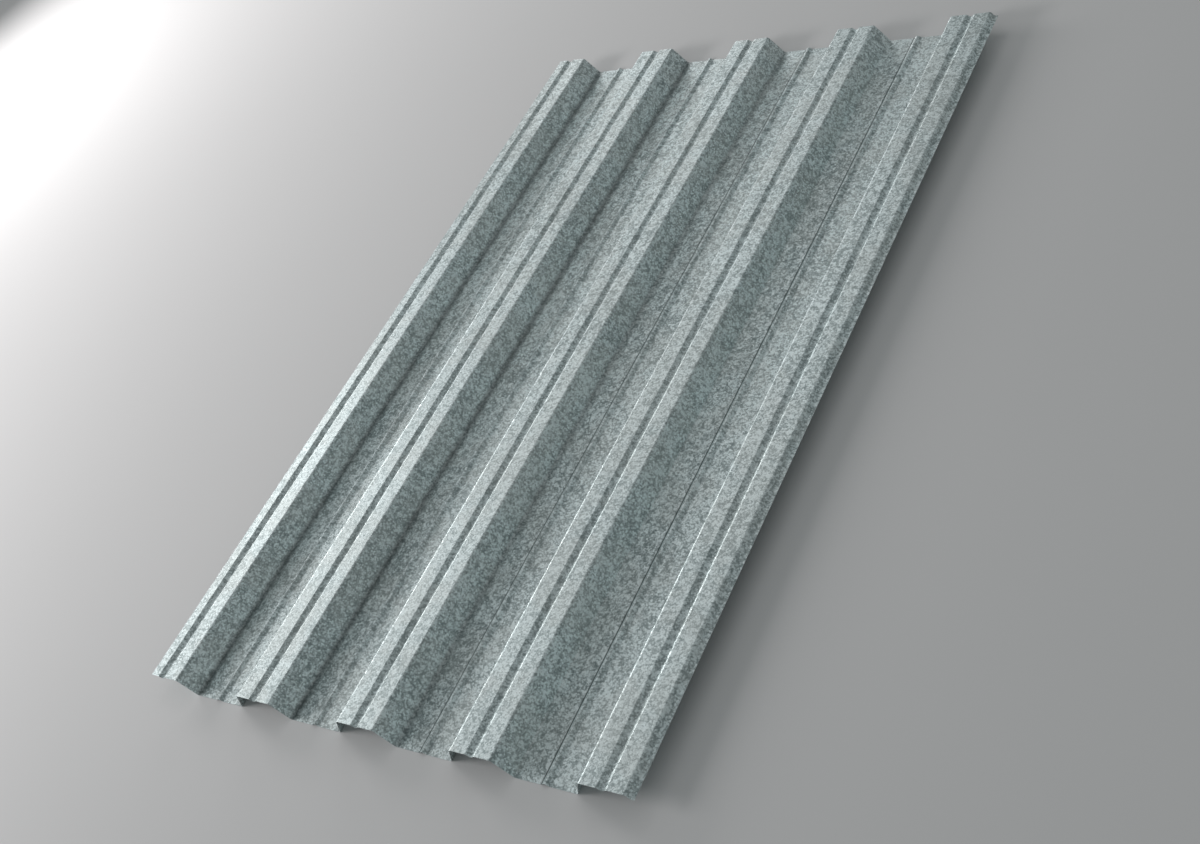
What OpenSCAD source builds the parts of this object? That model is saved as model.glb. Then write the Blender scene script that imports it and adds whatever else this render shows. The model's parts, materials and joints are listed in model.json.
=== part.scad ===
// Trapezoidal profiled steel sheet for roofs and walls, one roll-formed piece.
// X runs across the corrugations, Y along them, Z up.
// The origin is under the middle of the sheet, on the plane that its valleys rest on.

/* [Sheet] */
// Length along the corrugations
sheet_length = 1710; // [300:10:6000]
// Thickness of the steel, with its zinc coating
thickness = 0.7; // [0.5:0.05:1.5]
// Number of crests, the cover width is one pitch fewer
crest_count = 5; // [2:1:8]

/* [Corrugation] */
// Distance from one crest to the next
pitch = 250; // [180:5:350]
// Height from the valleys to the crests
depth = 42; // [20:1:70]
// Width of a crest between its two corners
crest_width = 83; // [40:1:110]
// Horizontal run of a sloping web
web_run = 23; // [10:1:40]
// Inside radius of the bends between webs, crests and valleys
bend_radius = 5; // [1:0.5:6]

/* [Stiffeners] */
// Width of the groove along each crest, at its mouth
groove_width = 18; // [12:1:40]
// Width of the groove's flat bottom
groove_bottom_width = 4; // [2:0.5:14]
// Depth of the groove below the crest
groove_depth = 5; // [2:0.5:10]
// Width of the rib along each valley, at its foot
rib_width = 17; // [12:1:60]
// Width of the rib's flat top
rib_top_width = 3; // [2:0.5:12]
// Height of the rib above the valley
rib_height = 5; // [2:0.5:10]
// Inside radius of the small bends of grooves and ribs
stiffener_radius = 2; // [0.5:0.25:2.5]

/* [Side edges] */
// From the middle of the first crest to the free edge that the next sheet laps over
first_edge = 29; // [14:1:41]
// How far the web past the last crest comes down
lip_drop = 10; // [6:1:20]
// Width of the flat hem outside that short web
lip_width = 7; // [4:1:15]

/* [Hidden] */

// Straight pieces that stand in for the arc of a bend and of a stiffener's bend
bend_steps = 4;
stiffener_steps = 3;

// The middle layer of the steel: heights of the valleys and the crests
valley_z = thickness / 2;
crest_z = valley_z + depth;
cover_width = (crest_count - 1) * pitch;
lip_run = lip_drop * web_run / depth;
lip_edge = crest_width / 2 + lip_run + lip_width;
middle_x = (cover_width + lip_edge - first_edge) / 2;

// A corner of the middle layer: [x, z, inside radius, steps of its arc]
function bend(x, z) = [x, z, bend_radius, bend_steps];
function small_bend(x, z) = [x, z, stiffener_radius, stiffener_steps];

// The four corners of a channel pressed into a flat from z to z + rise, about x
function stiffener(x, z, rise, outer, inner) = [
    small_bend(x - outer / 2, z),
    small_bend(x - inner / 2, z + rise),
    small_bend(x + inner / 2, z + rise),
    small_bend(x + outer / 2, z)
];
function crest_groove(x) = stiffener(x, crest_z, -groove_depth, groove_width, groove_bottom_width);
function valley_rib(x) = stiffener(x, valley_z, rib_height, rib_width, rib_top_width);

// From the right corner of the crest at x, through the valley, to the next crest's left corner
function valley(x) = concat(
    [
        bend(x + crest_width / 2, crest_z),
        bend(x + crest_width / 2 + web_run, valley_z)
    ],
    valley_rib(x + pitch / 2),
    [
        bend(x + pitch - crest_width / 2 - web_run, valley_z),
        bend(x + pitch - crest_width / 2, crest_z)
    ]
);

// All corners of the middle layer, from the first free edge to the lip
function corners() = concat(
    [bend(-first_edge, crest_z)],
    crest_groove(0),
    [for (i = [0 : crest_count - 2]) each concat(valley(i * pitch), crest_groove((i + 1) * pitch))],
    [
        bend(cover_width + crest_width / 2, crest_z),
        bend(cover_width + crest_width / 2 + lip_run, crest_z - lip_drop),
        bend(cover_width + lip_edge, crest_z - lip_drop)
    ]
);

function heading(a, b) = atan2(b[1] - a[1], b[0] - a[0]);
function beside(p, angle, distance) = [
    p[0] - distance * sin(angle),
    p[1] + distance * cos(angle)
];

// One face of the steel at a corner: an arc about the bend's own centre.
// side is 1 on the upper face and -1 on the lower face.
function face_arc(before, corner, after, side) =
    let (
        start = heading(before, corner),
        turn = heading(corner, after) - start,
        hand = sign(turn),
        middle_radius = corner[2] + thickness / 2,
        reach = middle_radius / cos(turn / 2),
        centre = beside(corner, start + turn / 2, hand * reach),
        radius = middle_radius - hand * side * thickness / 2
    )
    [for (k = [0 : corner[3]]) beside(centre, start + turn * k / corner[3], -hand * radius)];

function face(path, side) =
    let (last = len(path) - 1)
    concat(
        [beside(path[0], heading(path[0], path[1]), side * thickness / 2)],
        [for (i = [1 : last - 1]) each face_arc(path[i - 1], path[i], path[i + 1], side)],
        [beside(path[last], heading(path[last - 1], path[last]), side * thickness / 2)]
    );

function reversed(points) = [for (i = [len(points) - 1 : -1 : 0]) points[i]];

module sheet_section() {
    path = corners();
    polygon(concat(face(path, -1), reversed(face(path, 1))));
}

module profiled_sheet() {
    color("#9fb0b0")
    translate([-middle_x, sheet_length / 2, 0])
    rotate([90, 0, 0])
    linear_extrude(sheet_length)
    sheet_section();
}

profiled_sheet();
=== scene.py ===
"""One galvanised trapezoidal roofing sheet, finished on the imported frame, and a plain studio stage.

Laid out as an add-on: the property groups hold the sizes and colours, one operator makes each thing,
the panel lists them, and main() runs them in order. Lengths are in metres. X runs across the
corrugations, Y along them and Z up, as in the frame.
"""

import json
import math

import bpy
import numpy as np
from mathutils import Matrix, Vector


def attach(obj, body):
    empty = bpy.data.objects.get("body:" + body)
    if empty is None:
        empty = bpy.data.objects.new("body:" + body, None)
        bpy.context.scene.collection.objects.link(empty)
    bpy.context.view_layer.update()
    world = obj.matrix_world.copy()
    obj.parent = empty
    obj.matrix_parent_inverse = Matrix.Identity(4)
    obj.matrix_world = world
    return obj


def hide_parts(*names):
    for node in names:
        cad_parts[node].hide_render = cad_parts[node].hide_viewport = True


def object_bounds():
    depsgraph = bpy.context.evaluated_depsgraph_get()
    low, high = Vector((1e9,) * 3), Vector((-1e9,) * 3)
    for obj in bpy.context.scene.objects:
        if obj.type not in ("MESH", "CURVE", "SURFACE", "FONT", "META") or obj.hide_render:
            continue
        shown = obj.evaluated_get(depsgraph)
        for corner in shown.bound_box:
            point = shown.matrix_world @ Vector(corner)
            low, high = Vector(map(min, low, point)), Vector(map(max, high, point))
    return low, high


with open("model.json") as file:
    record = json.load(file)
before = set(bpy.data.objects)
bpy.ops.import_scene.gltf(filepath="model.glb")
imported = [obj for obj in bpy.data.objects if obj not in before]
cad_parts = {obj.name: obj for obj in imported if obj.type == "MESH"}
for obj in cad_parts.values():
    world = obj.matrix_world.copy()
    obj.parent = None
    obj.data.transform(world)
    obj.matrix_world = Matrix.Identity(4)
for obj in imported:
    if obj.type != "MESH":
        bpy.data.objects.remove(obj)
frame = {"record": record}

bl_info = {
    "name": "Galvanised Trapezoidal Sheet",
    "version": (1, 0, 0),
    "blender": (4, 5, 0),
    "location": "View3D > Sidebar > Metal Sheet",
    "description": "Builds one roll-formed, galvanised roofing sheet on a plain studio stage",
    "category": "Object",
}

NODE = "profiled_sheet"
PIECE = "galvanised_sheet"

CAD_LOW, CAD_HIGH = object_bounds()
CAD_SIZE = CAD_HIGH - CAD_LOW


def mount(name):
    """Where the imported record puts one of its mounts."""
    found = [m["pos_m"] for m in frame["record"]["mounts"] if m["name"] == name]
    return Vector(found[0])


def opening(name):
    """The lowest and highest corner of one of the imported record's openings."""
    boxes = [o["box_m"] for o in frame["record"]["physics"]["openings"] if o["name"] == name]
    return Vector(boxes[0][0]), Vector(boxes[0][1])


# Sizes that the frame states: the valleys it rests on and both faces of a crest.
RESTS = [m["name"] for m in frame["record"]["mounts"] if m["name"].startswith("valley_rest_")]
PITCH = mount(RESTS[1]).x - mount(RESTS[0]).x
DEPTH = mount("last_crest_underside").z - CAD_LOW.z
THICKNESS = mount("first_crest_top").z - mount("last_crest_underside").z
FIRST_VALLEY = sum(corner.x for corner in opening("trough_1")) / 2


# ---------------------------------------------------------------------------------------------------
# Sizes and colours that a user would change
# ---------------------------------------------------------------------------------------------------


def length(name, description, default, low=0.0, high=10.0):
    """A property that holds a length in metres."""
    return bpy.props.FloatProperty(
        name=name,
        description=description,
        default=default,
        min=low,
        max=high,
        precision=5,
        subtype="DISTANCE",
        unit="LENGTH",
    )


def amount(name, description, default, low=0.0, high=1.0, **kind):
    """A property that holds a number. kind is its unit or subtype."""
    return bpy.props.FloatProperty(
        name=name, description=description, default=default, min=low, max=high, precision=3, **kind
    )


def angle(name, description, degrees):
    """A property that holds an angle."""
    return bpy.props.FloatProperty(
        name=name,
        description=description,
        default=math.radians(degrees),
        precision=3,
        subtype="ANGLE",
        unit="ROTATION",
    )


def colour(name, description, default):
    """A property that holds a colour."""
    return bpy.props.FloatVectorProperty(
        name=name, description=description, default=default, size=3, min=0, max=1, subtype="COLOR"
    )


class SheetProfile(bpy.types.PropertyGroup):
    """The sizes of the roll-formed sheet."""

    length: length("Length", "Length along the corrugations", CAD_SIZE.y)
    thickness: length("Thickness", "Thickness of the steel with its zinc", THICKNESS)
    crests: bpy.props.IntProperty(
        name="Crests", description="Number of crests", default=len(RESTS) + 1, min=2, max=8
    )
    pitch: length("Pitch", "Distance from one crest to the next", PITCH)
    depth: length("Depth", "Height from the valleys to the crests", DEPTH)
    crest_width: length("Crest width", "Width of a crest between its corners", 0.083)
    web_run: length("Web run", "Horizontal run of a sloping web", 0.023)
    bend_radius: length("Bend radius", "Inside radius of the main bends", 0.005)
    groove_width: length("Groove width", "Width of the crest groove at its mouth", 0.018)
    groove_bottom: length("Groove bottom", "Width of the crest groove's flat bottom", 0.004)
    groove_depth: length("Groove depth", "Depth of the groove below the crest", 0.005)
    rib_width: length("Rib width", "Width of the valley rib at its foot", 0.017)
    rib_top: length("Rib top", "Width of the valley rib's flat top", 0.003)
    rib_height: length("Rib height", "Height of the rib above the valley", 0.005)
    stiffener_radius: length("Stiffener radius", "Inside radius of groove and rib bends", 0.002)
    first_edge: length("First edge", "From the first crest's middle to the free edge", 0.029)
    lip_drop: length("Lip drop", "How far the web past the last crest comes down", 0.010)
    lip_width: length("Lip width", "Width of the flat hem outside that web", 0.007)
    edge_break: length("Edge break", "Width of the broken corners along every cut edge", 0.00014)
    waviness: length("Waviness", "How far a wide flat swells out of true", 0.00022)


class SheetFinish(bpy.types.PropertyGroup):
    """The colours and grain of the zinc coat and of the cut steel."""

    dark_zinc: colour("Dark zinc", "Colour of the dull crystals", (0.31, 0.375, 0.378))
    pale_zinc: colour("Pale zinc", "Colour of the bright crystals", (0.86, 0.965, 0.97))
    warm_haze: colour("Warm haze", "Colour of the faint stains on the zinc", (0.60, 0.60, 0.56))
    # The colour of the painted shade laid in the feet of the webs and beside the ribs.
    painted_light: colour("Dirt", "Colour of the dirt in the feet of webs and ribs", (0.045, 0.055, 0.056))
    cut_steel: colour("Cut steel", "Colour of the sheared edges", (0.62, 0.64, 0.64))
    crystal: length("Crystal", "Width of a large zinc crystal", 0.009)
    fleck: length("Fleck", "Width of a small bright fleck", 0.0034)
    grain: length("Grain", "Width of the finest grain", 0.0018)
    roughness: amount("Roughness", "Mean roughness of the zinc", 0.50, subtype="FACTOR")


class StageSettings(bpy.types.PropertyGroup):
    """The floor, the lights and the camera."""

    floor_colour: colour("Floor", "Colour of the plain floor", (0.67, 0.68, 0.68))
    floor_width: length("Floor width", "Width of the floor", 30.0, high=100.0)
    room_colour: colour("Room", "Colour of the light that fills the room", (0.278, 0.290, 0.292))
    lamp_colour: colour("Lamps", "Colour of the softboxes", (1.0, 0.955, 0.955))
    camera_distance: length("Camera distance", "From the camera to what it looks at", 2.682)
    camera_azimuth: angle("Camera azimuth", "Turn about Z, 0 looks along +Y", 51.53)
    camera_elevation: angle("Camera elevation", "Height of the camera over the horizon", 39.19)
    camera_roll: angle("Camera roll", "Turn about the line of sight", 34.5)
    look_across: length("Look across", "Offset of the point looked at along X", 0.1212, low=-5.0)
    look_along: length("Look along", "Offset of the point looked at along Y", -0.1908, low=-5.0)
    focal_length: amount(
        "Focal length", "Millimetres, on a sensor 36 mm wide", 45.356, 1.0, 200.0, unit="CAMERA"
    )


# ---------------------------------------------------------------------------------------------------
# The sheet's section: corners of the middle layer, then stations along it
# ---------------------------------------------------------------------------------------------------

BEND_STEPS = 6
STIFFENER_STEPS = 4
FLAT_STEP = 0.012
FLAT_GUARD = 0.001
RING_STEP = 0.036
SHARP_BEND = math.radians(30)

# The swell of the flats: its seed, its (wavelength, share) pairs, and the width of a flat that takes
# the full waviness.
SWELL_SEED = 11
SWELL_WAVES = ((0.92, 0.5), (0.41, 0.3), (0.23, 0.2))
FULL_SWELL_WIDTH = 0.05


def corners(p):
    """All corners (x, z, inside radius, steps) of the middle layer, from the free edge to the lip."""
    low, high = p.thickness / 2, p.thickness / 2 + p.depth
    half = p.crest_width / 2

    def bend(x, z):
        return (x, z, p.bend_radius, BEND_STEPS)

    def stiffener(x, z, rise, outer, inner):
        spots = ((-outer / 2, 0), (-inner / 2, rise), (inner / 2, rise), (outer / 2, 0))
        return [(x + dx, z + dz, p.stiffener_radius, STIFFENER_STEPS) for dx, dz in spots]

    def groove(x):
        return stiffener(x, high, -p.groove_depth, p.groove_width, p.groove_bottom)

    path = [bend(-p.first_edge, high), *groove(0)]
    for i in range(p.crests - 1):
        left, right = i * p.pitch + half, (i + 1) * p.pitch - half
        path += [bend(left, high), bend(left + p.web_run, low)]
        path += stiffener((left + right) / 2, low, p.rib_height, p.rib_width, p.rib_top)
        path += [bend(right - p.web_run, low), bend(right, high)]
        path += groove((i + 1) * p.pitch)
    last = (p.crests - 1) * p.pitch + half
    run = p.lip_drop * p.web_run / p.depth
    path += [
        bend(last, high),
        bend(last + run, high - p.lip_drop),
        bend(last + run + p.lip_width, high - p.lip_drop),
    ]
    return path


def heading(a, b):
    """The direction from one point of the section to another, as an angle."""
    return math.atan2(b[1] - a[1], b[0] - a[0])


def arc(before, corner, after, thickness):
    """The middle layer round one bend: (point, heading) at each step."""
    start = heading(before, corner)
    turn = heading(corner, after) - start
    radius = corner[2] + thickness / 2
    centre_way = start + turn / 2
    reach = math.copysign(radius / math.cos(turn / 2), turn)
    centre = Vector(corner[:2]) + reach * up_from(centre_way)
    made = []
    for k in range(corner[3] + 1):
        way = start + turn * k / corner[3]
        made.append((centre - math.copysign(radius, turn) * up_from(way), way))
    return made


def up_from(way):
    """The unit vector a quarter turn to the left of a heading."""
    return Vector((-math.sin(way), math.cos(way)))


class Section:
    """Stations along the middle layer: place, upward normal, half thickness and swell.

    panels numbers the flats, swells is how much of the waviness each station takes, and run is the
    distance along the flattened strip.
    """

    def __init__(self, p):
        path = corners(p)
        self.points, self.normals, self.panels, self.swells = [], [], [], []
        ends = [[(Vector(path[0][:2]), heading(path[0], path[1]))]]
        ends += [arc(a, b, c, p.thickness) for a, b, c in zip(path, path[1:], path[2:])]
        ends += [[(Vector(path[-1][:2]), heading(path[-2], path[-1]))]]
        for i, bent in enumerate(ends):
            for place, way in bent:
                self.add(place, way, i, 0.0)
            if i + 1 < len(ends):
                self.add_flat(bent[-1], ends[i + 1][0], i)
        self.points = np.array(self.points)
        self.points[:, 0] -= (self.points[0, 0] + self.points[-1, 0]) / 2
        self.normals = np.array(self.normals)
        self.panels = np.array(self.panels)
        self.swells = np.array(self.swells)
        self.halves = np.full(len(self.points), p.thickness / 2)
        self.break_long_edges(p.edge_break)
        steps = np.linalg.norm(np.diff(self.points, axis=0), axis=1)
        self.run = np.concatenate([[0.0], np.cumsum(steps)])

    def add(self, place, way, panel, swell):
        self.points.append(tuple(place))
        self.normals.append(tuple(up_from(way)))
        self.panels.append(panel)
        self.swells.append(swell)

    def add_flat(self, start, end, panel):
        """Stations inside a flat: a guard beside each bend, and even steps between them."""
        width = (end[0] - start[0]).length
        if width < 4 * FLAT_GUARD:
            return
        inner = width - 2 * FLAT_GUARD
        count = max(1, round(inner / FLAT_STEP))
        for k in range(count + 1):
            share = (FLAT_GUARD + inner * k / count) / width
            place = start[0].lerp(end[0], share)
            self.add(place, start[1], panel, math.sin(math.pi * share) ** 2 * width)

    def break_long_edges(self, size):
        """Breaks the corners of the two long edges, as slitting leaves them."""
        for end, inward in ((0, 1), (-1, -1)):
            edge, inner = self.points[end].copy(), self.points[end].copy()
            inner[0] += inward * size
            self.points[end] = inner
            at = 0 if end == 0 else len(self.points)
            self.points = np.insert(self.points, at, edge, axis=0)
            self.normals = np.insert(self.normals, at, self.normals[end], axis=0)
            self.panels = np.insert(self.panels, at, self.panels[end])
            self.swells = np.insert(self.swells, at, 0.0)
            self.halves = np.insert(self.halves, at, self.halves[end] - size)


def flat_waves(section, rings, p):
    """How far each station swells out of true at each ring: slow waves, different in every flat."""
    rng = np.random.default_rng(SWELL_SEED)
    swell = np.zeros((len(rings), len(section.points)))
    for panel in np.unique(section.panels):
        wave = np.zeros(len(rings))
        for wavelength, share in SWELL_WAVES:
            stretch, phase = rng.uniform(0.8, 1.25), rng.uniform(0, 2 * math.pi)
            wave += share * np.sin(2 * math.pi * rings / (wavelength * stretch) + phase)
        mine = section.panels == panel
        swell[:, mine] = wave[:, None] * section.swells[mine] / FULL_SWELL_WIDTH * p.waviness
    return swell


def ring_places(p):
    """Distances along the sheet of the rings of points, with a close pair at each cut end."""
    half = p.length / 2
    inner = np.linspace(-half + p.edge_break, half - p.edge_break, round(p.length / RING_STEP) + 1)
    return np.concatenate([[-half], inner, [half]])


def strip_faces(first, second):
    """Quads between two equal rows of point numbers, wound from first to second."""
    return np.stack([first[:-1], first[1:], second[1:], second[:-1]], axis=1)


def sheet_mesh(p):
    """The sheet as one closed mesh, with its flattened strip as its map."""
    section = Section(p)
    rings = ring_places(p)
    count = len(section.points)
    halves = np.tile(section.halves, (len(rings), 1))
    halves[[0, -1]] = np.minimum(halves[[0, -1]], p.thickness / 2 - p.edge_break)
    swell = flat_waves(section, rings, p)

    sides = []
    for side in (1, -1):
        out = (side * halves + swell)[:, :, None] * section.normals[None]
        across = section.points[None] + out
        along = np.broadcast_to(rings[:, None], across.shape[:2])
        sides.append(np.stack([across[:, :, 0], along, across[:, :, 1]], axis=2))
    places = np.concatenate([s.reshape(-1, 3) for s in sides])
    places[:, 2] = np.maximum(places[:, 2], CAD_LOW.z)  # no swell dips through the floor

    top = np.arange(len(rings) * count).reshape(len(rings), count)
    under = top + top.size
    groups = [
        ("top", np.concatenate([strip_faces(a, b) for a, b in zip(top, top[1:])])),
        ("under", np.concatenate([strip_faces(b, a) for a, b in zip(under, under[1:])])),
        ("near", strip_faces(under[0], top[0])),
        ("far", strip_faces(top[-1], under[-1])),
        ("left", strip_faces(top[:, 0], under[:, 0])),
        ("right", strip_faces(under[:, -1], top[:, -1])),
    ]
    faces = np.concatenate([found for _, found in groups])
    mesh = bpy.data.meshes.new(PIECE)
    mesh.from_pydata(places.tolist(), [], faces.tolist())
    mesh.polygons.foreach_set("material_index", face_materials(groups, top, count))
    mesh.polygons.foreach_set("use_smooth", np.ones(len(faces), bool))
    lay_out_map(mesh, groups, top.size, section.run, rings)
    mesh.set_sharp_from_angle(angle=SHARP_BEND)
    mesh.validate()
    mesh.update()
    return mesh


def face_materials(groups, top, count):
    """0 for the zinc coat and 1 for cut steel: the ends, the long edges and their broken corners."""
    made = []
    rings = len(top)
    for name, found in groups:
        if name not in ("top", "under"):
            made.append(np.ones(len(found), np.int32))
            continue
        cut = np.zeros((rings - 1, count - 1), np.int32)
        cut[[0, -1], :] = 1
        cut[:, [0, -1]] = 1
        made.append(cut.ravel())
    return np.concatenate(made)


# Places on the square map: (left, right, bottom, top) of each group of faces.
MAP_PLACES = {
    "top": (0.004, 0.700, 0.012, 0.988),
    "under": (0.708, 0.976, 0.012, 0.988),
    "near": (0.004, 0.700, 0.001, 0.008),
    "far": (0.004, 0.700, 0.992, 0.999),
    "left": (0.980, 0.986, 0.012, 0.988),
    "right": (0.990, 0.996, 0.012, 0.988),
}


def lay_out_map(mesh, groups, side_size, run, rings):
    """Lays the flattened strip out on the map: the top takes most of it."""
    across = run / run[-1]
    along = (rings - rings[0]) / (rings[-1] - rings[0])
    count = len(run)
    made = []
    for name, found in groups:
        left, right, bottom, high = MAP_PLACES[name]
        is_under = found // side_size
        ring, station = np.divmod(found % side_size, count)
        u, v = across[station], along[ring]
        if name in ("near", "far"):
            v = is_under
        if name in ("left", "right"):
            u = is_under
        made.append(np.stack([left + (right - left) * u, bottom + (high - bottom) * v], axis=-1))
    layer = mesh.uv_layers.new(name="OFBake")
    layer.uv.foreach_set("vector", np.concatenate(made).astype(np.float32).ravel())


# ---------------------------------------------------------------------------------------------------
# Materials
# ---------------------------------------------------------------------------------------------------


def add(tree, kind, inputs=(), **settings):
    """Adds a node, sets its properties, and links or sets its inputs."""
    node = tree.nodes.new(kind)
    for name, value in settings.items():
        setattr(node, name, value)
    for key, value in dict(inputs).items():
        socket = node.inputs[key]
        if isinstance(value, bpy.types.NodeSocket):
            tree.links.new(value, socket)
        else:
            socket.default_value = value
    return node


def maths(tree, operation, *values):
    """One number worked out from one, two or three others."""
    node = add(tree, "ShaderNodeMath", enumerate(values), operation=operation)
    return node.outputs[0]


def vectors(tree, operation, *values, scale=None):
    """One vector worked out from others."""
    node = add(tree, "ShaderNodeVectorMath", enumerate(values), operation=operation)
    if isinstance(scale, bpy.types.NodeSocket):
        tree.links.new(scale, node.inputs["Scale"])
    elif scale is not None:
        node.inputs["Scale"].default_value = scale
    return node.outputs[0]


def remap(tree, value, low, high, to_low=0.0, to_high=1.0):
    """Stretches low..high to to_low..to_high, smoothly and held at both ends."""
    node = add(
        tree,
        "ShaderNodeMapRange",
        {0: value, 1: low, 2: high, 3: to_low, 4: to_high},
        interpolation_type="SMOOTHSTEP",
    )
    return node.outputs[0]


def mixed(tree, share, first, second):
    """A colour between two others."""
    node = add(tree, "ShaderNodeMix", {0: share, 6: first, 7: second}, data_type="RGBA")
    return node.outputs[2]


def summed(tree, shares, values, start=0.0):
    """The start plus every value times its share."""
    total = start
    for name, share in shares.items():
        total = maths(tree, "MULTIPLY_ADD", values[name], share, total)
    return total


def band(tree, value, rise, fall):
    """1 between two soft edges and 0 outside them. Each edge is (where it starts, where it ends)."""
    return maths(tree, "MULTIPLY", remap(tree, value, *rise), remap(tree, value, *fall, 1.0, 0.0))


def noise(tree, place, scale, detail=2.0, roughness=0.5):
    """Soft noise from 0 to 1."""
    inputs = {"Vector": place, "Scale": scale, "Detail": detail, "Roughness": roughness}
    return add(tree, "ShaderNodeTexNoise", inputs).outputs["Fac"]


def new_group(name, inputs, outputs):
    """An empty node group: {name: default}, where a default of three numbers makes a vector."""
    group = bpy.data.node_groups.new(name, "ShaderNodeTree")
    for label, default in inputs.items():
        kind = "NodeSocketVector" if isinstance(default, tuple) else "NodeSocketFloat"
        socket = group.interface.new_socket(name=label, in_out="INPUT", socket_type=kind)
        socket.default_value = default
    for label, kind in outputs.items():
        group.interface.new_socket(name=label, in_out="OUTPUT", socket_type=kind)
    return group, group.nodes.new("NodeGroupInput").outputs, group.nodes.new("NodeGroupOutput").inputs


JOINT_DARKNESS = 0.55


def zinc_crystals_group():
    """Crystals of one size: random shades with darker joints, and a normal that leans with each."""
    group, given, out = new_group(
        "zinc_crystals",
        {"Place": (0.0, 0.0, 0.0), "Normal": (0.0, 0.0, 1.0), "Size": 0.01, "Ragged": 0.3, "Lean": 0.05},
        {"Shade": "NodeSocketFloat", "Second shade": "NodeSocketFloat", "Normal": "NodeSocketVector"},
    )
    per_metre = maths(group, "DIVIDE", 1.0, given["Size"])
    stray = add(group, "ShaderNodeTexNoise", {"Vector": given["Place"], "Scale": per_metre, "Detail": 3.0})
    stray = vectors(group, "SUBTRACT", stray.outputs["Color"], (0.5, 0.5, 0.5))
    pull = maths(group, "MULTIPLY", given["Ragged"], given["Size"])
    place = vectors(group, "ADD", given["Place"], vectors(group, "SCALE", stray, scale=pull))
    cells = add(group, "ShaderNodeTexVoronoi", {"Vector": place, "Scale": per_metre})
    apart = add(group, "ShaderNodeSeparateColor", {"Color": cells.outputs["Color"]})
    lean = vectors(group, "SUBTRACT", cells.outputs["Color"], (0.5, 0.5, 0.5))
    lean = vectors(group, "SCALE", lean, scale=maths(group, "MULTIPLY", given["Lean"], 2.0))
    normal = vectors(group, "NORMALIZE", vectors(group, "ADD", given["Normal"], lean))
    joint = maths(group, "POWER", maths(group, "MINIMUM", cells.outputs["Distance"], 1.0), 2.0)
    shade = maths(group, "MULTIPLY_ADD", joint, -JOINT_DARKNESS, apart.outputs["Red"])
    group.links.new(shade, out["Shade"])
    group.links.new(apart.outputs["Green"], out["Second shade"])
    group.links.new(normal, out["Normal"])
    return group


def rolled_streaks_group():
    """Fine streaks that the forming rolls leave along the sheet."""
    group, given, out = new_group(
        "rolled_streaks",
        {"Place": (0.0, 0.0, 0.0), "Width": 0.002, "Stretch": 120.0},
        {"Streak": "NodeSocketFloat"},
    )
    along = maths(group, "DIVIDE", 1.0, given["Stretch"])
    squeeze = add(group, "ShaderNodeCombineXYZ", {"X": 1.0, "Y": along, "Z": 1.0}).outputs[0]
    place = vectors(group, "MULTIPLY", given["Place"], squeeze)
    scale = maths(group, "DIVIDE", 1.0, given["Width"])
    group.links.new(noise(group, place, scale, 3.0, 0.6), out["Streak"])
    return group


def weather_haze_group():
    """Slow clouds in the finish, where the zinc has dulled unevenly."""
    group, given, out = new_group(
        "weather_haze",
        {"Place": (0.0, 0.0, 0.0), "Size": 0.2, "Edge": 0.3},
        {"Haze": "NodeSocketFloat"},
    )
    scale = maths(group, "DIVIDE", 1.0, given["Size"])
    cloud = noise(group, given["Place"], scale, 5.0, 0.55)
    low = maths(group, "SUBTRACT", 0.5, maths(group, "MULTIPLY", given["Edge"], 0.5))
    high = maths(group, "ADD", 0.5, maths(group, "MULTIPLY", given["Edge"], 0.5))
    group.links.new(remap(group, cloud, low, high), out["Haze"])
    return group


def use(tree, group, **inputs):
    """Places a node group in a tree. Names with spaces are written with an underscore."""
    node = tree.nodes.new("ShaderNodeGroup")
    node.node_tree = group
    for name, value in inputs.items():
        socket = node.inputs[name.replace("_", " ")]
        if isinstance(value, bpy.types.NodeSocket):
            tree.links.new(value, socket)
        else:
            socket.default_value = value
    return node.outputs


def new_material(name):
    """A material with a bare Principled shader: the material, its tree and the shader."""
    material = bpy.data.materials.new(name)
    material.use_nodes = True
    return material, material.node_tree, material.node_tree.nodes["Principled BSDF"]


def connect(tree, shader, **sockets):
    """Links sockets to the shader's inputs. Names with spaces are written with an underscore."""
    for name, value in sockets.items():
        tree.links.new(value, shader.inputs[name.replace("_", " ")])


def opaque(rgb):
    """The colour with full alpha."""
    return (*rgb, 1.0)


# Where the painted shade lies, in metres. Inside the foot of a web it rises and falls over these
# distances.
FOOT_RISE = (-0.005, 0.002)
FOOT_FALL = (0.003, 0.020)
# Width of the soft edges of the painted shade line and the painted highlight line beside a rib.
LINE_EDGE = 0.002
# The painted shade in the feet of the webs fades out, and the painted shade beside the ribs comes in,
# between these places across the sheet.
FOOT_FADES = (-0.15, 0.35)
RIB_STARTS = (-0.25, 0.2)
# The painted shade and highlight end between these shares of the depth, and come in between these
# upward parts of a face's normal, so the underside holds none.
LOW_DOWN = (0.15, 0.35)
FACING_UP = (0.0, 0.2)


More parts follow.
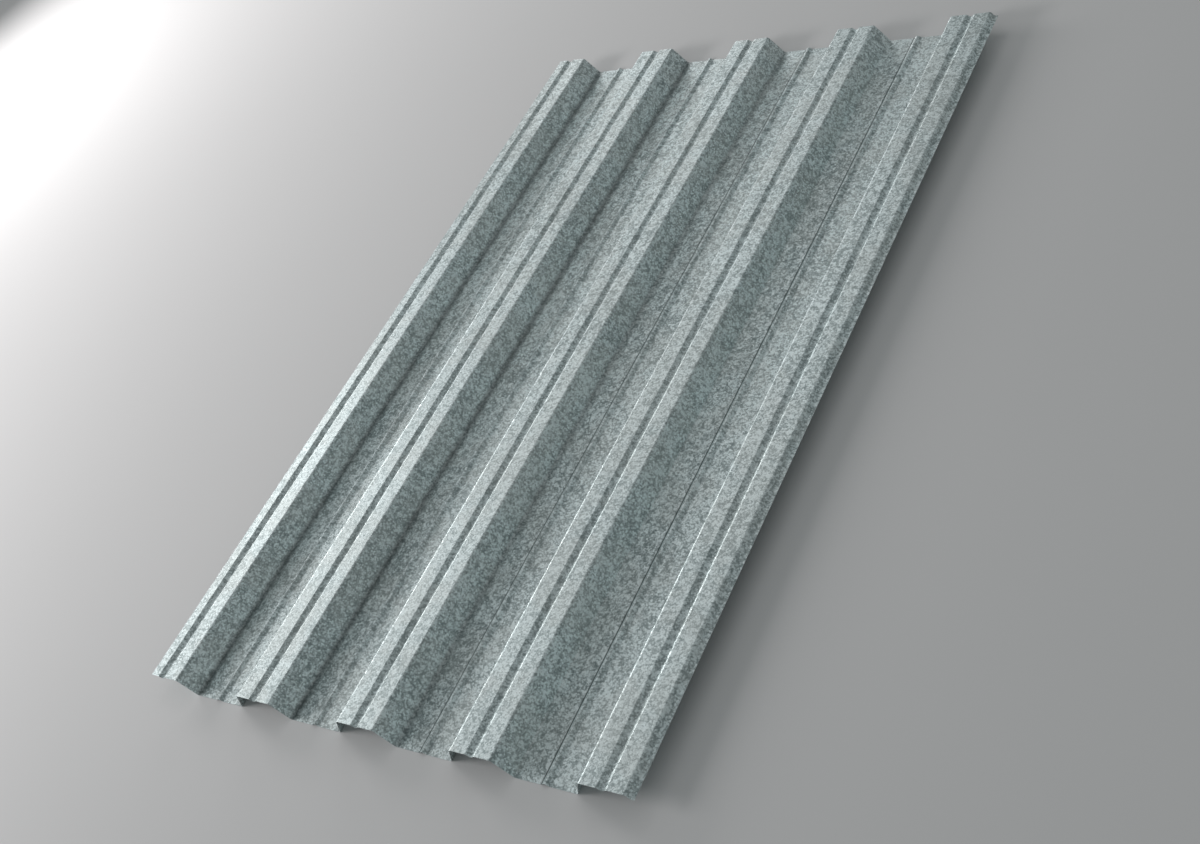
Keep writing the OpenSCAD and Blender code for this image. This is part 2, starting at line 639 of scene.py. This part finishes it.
def painted_shade_and_highlight(tree, place, normal, p):
    """Painted shade in the feet of the webs and beside the ribs, and a painted highlight line next to a
    rib.
    """
    apart = add(tree, "ShaderNodeSeparateXYZ", {"Vector": place}).outputs
    shifted = maths(tree, "ADD", apart["X"], p.pitch / 2 - FIRST_VALLEY)
    across = maths(tree, "SUBTRACT", maths(tree, "FLOORED_MODULO", shifted, p.pitch), p.pitch / 2)
    half_floor = (p.pitch - p.crest_width) / 2 - p.web_run
    inside = maths(tree, "SUBTRACT", half_floor, maths(tree, "ABSOLUTE", across))
    low_down = remap(tree, apart["Z"], *(p.depth * share for share in LOW_DOWN), 1.0, 0.0)
    facing = add(tree, "ShaderNodeSeparateXYZ", {"Vector": normal}).outputs["Z"]
    holds = maths(tree, "MULTIPLY", low_down, remap(tree, facing, *FACING_UP))

    # Painted shade in the foot of each web, fading out across the sheet.
    web_foot_shade = maths(tree, "MULTIPLY", band(tree, inside, FOOT_RISE, FOOT_FALL), holds)
    web_foot_shade = maths(tree, "MULTIPLY", web_foot_shade, remap(tree, apart["X"], *FOOT_FADES, 1.0, 0.0))

    rib_foot = -p.rib_width / 2
    rib_crown = -p.rib_top / 2
    line_end = (rib_foot + LINE_EDGE, rib_foot + 2 * LINE_EDGE)
    # Painted shade in a thin line at the foot of each rib, coming in across the sheet.
    rib_side_shade = band(tree, across, (rib_foot - LINE_EDGE, rib_foot), line_end)
    rib_side_shade = maths(tree, "MULTIPLY", rib_side_shade, remap(tree, apart["X"], *RIB_STARTS))
    rib_side_shade = maths(tree, "MULTIPLY", rib_side_shade, holds)
    # Painted highlight on the rib's upper corner, lightened towards the pale zinc and made smoother.
    painted_highlight = maths(
        tree, "MULTIPLY", band(tree, across, line_end, (rib_crown - LINE_EDGE, rib_crown)), holds
    )
    return {"web_foot_shade": web_foot_shade, "rib_side_shade": rib_side_shade, "painted_highlight": painted_highlight}


# What each effect adds to the zinc's tone, to the painted shade and to the roughness.
SHADE_SHARES = {"large": 0.26, "flecks": 0.46, "grain": 0.28, "haze": 0.10, "streak": 0.08}
SHADE_RANGE = (0.09, 0.75)
PAINTED_SHADE_SHARES = {"web_foot_shade": 0.60, "rib_side_shade": 0.85}
ROUGH_SHARES = {"flecks": 0.16, "haze": 0.06, "streak": 0.05, "painted_highlight": -0.12}
ROUGH_BASE = -0.10
STAIN_SHARE = 0.14
PAINTED_HIGHLIGHT_SHARE = 0.8
RIPPLES_PER_METRE = 260.0


def galvanised_material(finish, groups, profile):
    """Hot-dipped zinc: large soft crystals, small bright flecks and fine grain over a satin metal."""
    material, tree, shader = new_material("galvanised_zinc")
    place = add(tree, "ShaderNodeTexCoord").outputs["Object"]
    normal = add(tree, "ShaderNodeNewGeometry").outputs["Normal"]

    large = use(
        tree, groups["crystals"], Place=place, Normal=normal, Size=finish.crystal, Ragged=0.5, Lean=0.03
    )
    flecks = use(
        tree, groups["crystals"], Place=place, Normal=large["Normal"], Size=finish.fleck, Ragged=0.25,
        Lean=0.05,
    )
    grain = use(
        tree, groups["crystals"], Place=place, Normal=flecks["Normal"], Size=finish.grain, Ragged=0.25,
        Lean=0.03,
    )
    haze = use(tree, groups["haze"], Place=place, Size=0.26, Edge=0.5)["Haze"]
    stain = use(tree, groups["haze"], Place=place, Size=0.09, Edge=0.16)["Haze"]
    streak = use(tree, groups["streaks"], Place=place, Width=0.003, Stretch=160.0)["Streak"]
    # Masks of the painted shade and of the painted highlight.
    painted_light = painted_shade_and_highlight(tree, place, normal, profile)

    slow = {"haze": haze, "streak": streak}
    shades = {"large": large["Shade"], "flecks": flecks["Shade"], "grain": grain["Shade"], **slow}
    shade = remap(tree, summed(tree, SHADE_SHARES, shades), *SHADE_RANGE)
    body = mixed(tree, shade, opaque(finish.dark_zinc), opaque(finish.pale_zinc))
    body = mixed(tree, maths(tree, "MULTIPLY", stain, STAIN_SHARE), body, opaque(finish.warm_haze))
    # Painted shade: the colour darkens in the feet of the webs and beside the ribs.
    body = mixed(tree, summed(tree, PAINTED_SHADE_SHARES, painted_light), body, opaque(finish.painted_light))
    # Painted highlight: a line beside each rib is lightened towards the pale zinc.
    painted_highlight = maths(tree, "MULTIPLY", painted_light["painted_highlight"], PAINTED_HIGHLIGHT_SHARE)
    body = mixed(tree, painted_highlight, body, opaque(finish.pale_zinc))

    dulling = {"flecks": flecks["Second shade"], "painted_highlight": painted_light["painted_highlight"], **slow}
    rough = summed(tree, ROUGH_SHARES, dulling, finish.roughness + ROUGH_BASE)
    ripple = noise(tree, place, RIPPLES_PER_METRE, 3.0, 0.6)
    bump = add(tree, "ShaderNodeBump", {"Strength": 0.25, "Distance": 0.0003, "Height": ripple})
    tree.links.new(grain["Normal"], bump.inputs["Normal"])

    shader.inputs["Metallic"].default_value = 1.0
    connect(tree, shader, Base_Color=body, Roughness=rough, Normal=bump.outputs["Normal"])
    return material


def cut_steel_material(finish, groups):
    """Sheared steel: bright, with fine shear lines and smears of zinc dragged over it."""
    material, tree, shader = new_material("cut_steel")
    place = add(tree, "ShaderNodeTexCoord").outputs["Object"]
    normal = add(tree, "ShaderNodeNewGeometry").outputs["Normal"]
    smear = use(
        tree, groups["crystals"], Place=place, Normal=normal, Size=0.0035, Ragged=0.9, Lean=0.08
    )
    lines = use(tree, groups["streaks"], Place=place, Width=0.0006, Stretch=8.0)["Streak"]
    haze = use(tree, groups["haze"], Place=place, Size=0.05, Edge=0.4)["Haze"]
    body = mixed(tree, smear["Shade"], opaque(finish.cut_steel), opaque(finish.pale_zinc))
    body = mixed(tree, maths(tree, "MULTIPLY", haze, 0.35), body, opaque(finish.dark_zinc))
    rough = maths(tree, "MULTIPLY_ADD", lines, 0.25, 0.22)
    bump = add(tree, "ShaderNodeBump", {"Strength": 0.3, "Distance": 0.0001, "Height": lines})
    tree.links.new(smear["Normal"], bump.inputs["Normal"])
    shader.inputs["Metallic"].default_value = 1.0
    connect(tree, shader, Base_Color=body, Roughness=rough, Normal=bump.outputs["Normal"])
    return material


def floor_material(floor_colour, haze_group):
    """A plain pale floor with the faintest unevenness."""
    material, tree, shader = new_material("studio_floor")
    place = add(tree, "ShaderNodeTexCoord").outputs["Object"]
    haze = use(tree, haze_group, Place=place, Size=1.4, Edge=0.9)["Haze"]
    paler = tuple(min(1.0, c * 1.03) for c in floor_colour)
    body = mixed(tree, haze, opaque(floor_colour), opaque(paler))
    shader.inputs["Roughness"].default_value = 0.9
    shader.inputs["Specular IOR Level"].default_value = 0.1
    connect(tree, shader, Base_Color=body)
    return material


def effect(name):
    """The node group of that name, built the first time it is asked for."""
    makers = {
        "zinc_crystals": zinc_crystals_group,
        "rolled_streaks": rolled_streaks_group,
        "weather_haze": weather_haze_group,
    }
    return bpy.data.node_groups.get(name) or makers[name]()


# ---------------------------------------------------------------------------------------------------
# Operators
# ---------------------------------------------------------------------------------------------------


def link(name, data):
    """Puts new data into the scene under a name."""
    made = bpy.data.objects.new(name, data)
    bpy.context.scene.collection.objects.link(made)
    return made


SIZE_SLACK = 0.002


class SHEET_OT_build(bpy.types.Operator):
    """Build the galvanised sheet in place of its plain solid"""

    bl_idname = "sheet.build"
    bl_label = "Galvanised sheet"

    def execute(self, context):
        finish = context.scene.sheet_finish
        groups = {
            "crystals": effect("zinc_crystals"),
            "streaks": effect("rolled_streaks"),
            "haze": effect("weather_haze"),
        }
        piece = link(PIECE, sheet_mesh(context.scene.sheet_profile))
        piece.data.materials.append(galvanised_material(finish, groups, context.scene.sheet_profile))
        piece.data.materials.append(cut_steel_material(finish, groups))
        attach(piece, "root")
        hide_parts(NODE)
        if (piece.dimensions - CAD_SIZE).length > SIZE_SLACK:
            raise RuntimeError(f"the sheet is {tuple(piece.dimensions)}, the frame {tuple(CAD_SIZE)}")
        return {"FINISHED"}


def soft_light(name, place, aim, width, height, power, tint):
    """A rectangular softbox at a place, turned to shine on a point."""
    data = bpy.data.lights.new(name, "AREA")
    data.shape = "RECTANGLE"
    data.size = width
    data.size_y = height
    data.energy = power
    data.color = tint
    lamp = link(name, data)
    lamp.location = place
    lamp.rotation_mode = "QUATERNION"
    lamp.rotation_quaternion = (Vector(aim) - Vector(place)).to_track_quat("-Z", "Y")
    return lamp


SENSOR_WIDTH = 36.0

# Name, direction from the sheet (turn from +X towards +Y, height) in degrees, distance, size, watts.
SOFTBOXES = (
    ("key_softbox", 165, 16, 4.0, 1.44, 0.88, 48.0),
    ("far_softbox", 125, 14, 4.0, 1.6, 1.0, 14.0),
    ("near_softbox", 210, 26, 4.0, 1.44, 0.88, 54.0),
    ("high_softbox", 120, 55, 3.8, 1.6, 1.2, 5.5),
)


def direction(turn, height):
    """The unit vector at a turn from +X towards +Y and a height over the floor."""
    return Vector(
        (math.cos(turn) * math.cos(height), math.sin(turn) * math.cos(height), math.sin(height))
    )


class SHEET_OT_stage(bpy.types.Operator):
    """Lay the floor, hang the soft lights and set the camera"""

    bl_idname = "sheet.stage"
    bl_label = "Studio stage"

    def execute(self, context):
        stage = context.scene.sheet_stage
        context.scene.view_settings.view_transform = "Standard"
        self.lay_floor(stage)
        self.hang_lights(context.scene, stage)
        context.scene.camera = self.set_camera(stage)
        return {"FINISHED"}

    def lay_floor(self, stage):
        """One plain square, level with the sheet's underside."""
        half = stage.floor_width / 2
        spots = [(x * half, y * half, 0.0) for x, y in ((-1, -1), (1, -1), (1, 1), (-1, 1))]
        mesh = bpy.data.meshes.new("floor")
        mesh.from_pydata(spots, [], [(0, 1, 2, 3)])
        mesh.materials.append(floor_material(tuple(stage.floor_colour), effect("weather_haze")))
        link("floor", mesh)

    def hang_lights(self, scene, stage):
        """The room's even light and every softbox of the table."""
        world = bpy.data.worlds.new("room")
        world.use_nodes = True
        world.node_tree.nodes["Background"].inputs["Color"].default_value = opaque(stage.room_colour)
        scene.world = world
        for name, azimuth, elevation, distance, width, height, power in SOFTBOXES:
            place = distance * direction(math.radians(azimuth), math.radians(elevation))
            soft_light(name, place, (0.0, 0.0, 0.0), width, height, power, tuple(stage.lamp_colour))

    def set_camera(self, stage):
        """A camera turned about the point it looks at, then about its own line of sight."""
        back = direction(stage.camera_azimuth - math.pi / 2, stage.camera_elevation)
        middle = (CAD_LOW + CAD_HIGH) / 2
        aim = middle + Vector((stage.look_across, stage.look_along, 0.0))
        level = (-back).to_track_quat("-Z", "Y").to_matrix()
        turned = level @ Matrix.Rotation(-stage.camera_roll, 3, "Z")
        data = bpy.data.cameras.new("camera")
        data.sensor_width = SENSOR_WIDTH
        data.lens = stage.focal_length
        camera = link("camera", data)
        camera.matrix_world = Matrix.LocRotScale(
            aim + back * stage.camera_distance, turned.to_quaternion(), None
        )
        return camera


class SHEET_PT_panel(bpy.types.Panel):
    """Everything that makes the scene, in the order it is made"""

    bl_label = "Galvanised sheet"
    bl_idname = "SHEET_PT_panel"
    bl_space_type = "VIEW_3D"
    bl_region_type = "UI"
    bl_category = "Metal Sheet"

    def draw(self, context):
        scene = context.scene
        parts = (
            (SHEET_OT_stage, (scene.sheet_stage,)),
            (SHEET_OT_build, (scene.sheet_profile, scene.sheet_finish)),
        )
        for operator, settings in parts:
            box = self.layout.box()
            for group in settings:
                for name in group.bl_rna.properties.keys():
                    if name not in ("rna_type", "name"):
                        box.prop(group, name)
            box.operator(operator.bl_idname)


CLASSES = (SheetProfile, SheetFinish, StageSettings, SHEET_OT_build, SHEET_OT_stage, SHEET_PT_panel)


def register():
    for cls in CLASSES:
        bpy.utils.register_class(cls)
    bpy.types.Scene.sheet_profile = bpy.props.PointerProperty(type=SheetProfile)
    bpy.types.Scene.sheet_finish = bpy.props.PointerProperty(type=SheetFinish)
    bpy.types.Scene.sheet_stage = bpy.props.PointerProperty(type=StageSettings)


def unregister():
    del bpy.types.Scene.sheet_profile
    del bpy.types.Scene.sheet_finish
    del bpy.types.Scene.sheet_stage
    for cls in reversed(CLASSES):
        bpy.utils.unregister_class(cls)


def main():
    register()
    bpy.ops.sheet.stage()
    bpy.ops.sheet.build()


if __name__ == "__main__":
    main()
